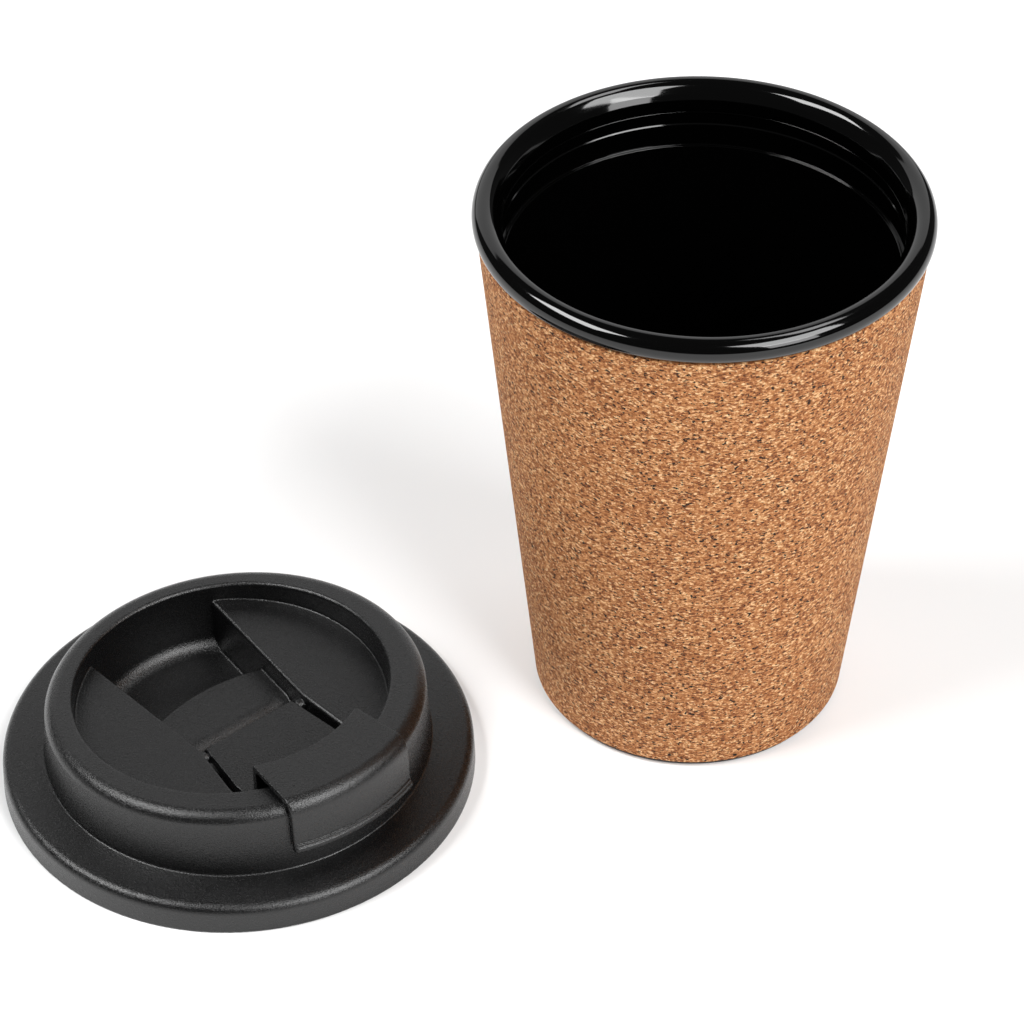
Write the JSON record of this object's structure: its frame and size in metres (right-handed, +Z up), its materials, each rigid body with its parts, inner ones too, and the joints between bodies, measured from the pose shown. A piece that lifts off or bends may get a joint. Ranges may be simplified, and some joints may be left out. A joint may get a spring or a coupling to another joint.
{
  "type": "travel cup",
  "caption": "Tapered cork-wrapped travel cup with a glossy rolled rim, and a separate black push-on lid whose hinged flap closes its drinking hole.",
  "frame": {"origin": "centre of the cup's underside, on the surface that the cup and the lid stand on", "axes": "+Z up along the cup's axis; -X points towards the lid lying beside the cup"},
  "size_m": [0.1902, 0.1249, 0.122],
  "materials": {
    "base": "satin black",
    "liner": "glossy black",
    "rim": "glossy black",
    "cork": "pressed cork granules, matte",
    "lid": "fine spark-eroded black",
    "seal": "soft black",
    "pin": "drawn rod",
    "flap": "fine spark-eroded black",
    "stopper": "soft black"
  },
  "bodies": {
    "cup": {"base_cap": "base", "liner_cup": "liner", "rim_ring": "rim", "cork_sleeve": "cork"},
    "lid": {"lid_shell": "lid", "seal_ring": "seal", "hinge_pin": "pin"},
    "flap": {"flip_tab": "flap", "spout_stopper": "stopper"}
  },
  "joints": [
    {"name": "lid_lift", "type": "slide", "parent": "cup", "child": "lid", "axis": [0, 0, 1], "range_m": [0, 0.14]},
    {"name": "tab_flip", "type": "hinge", "parent": "lid", "child": "flap", "pos_m": [-0.0916, -0.03419, 0.0124], "axis": [-0.766, -0.6428, 0], "range_deg": [0, 170]}
  ]
}
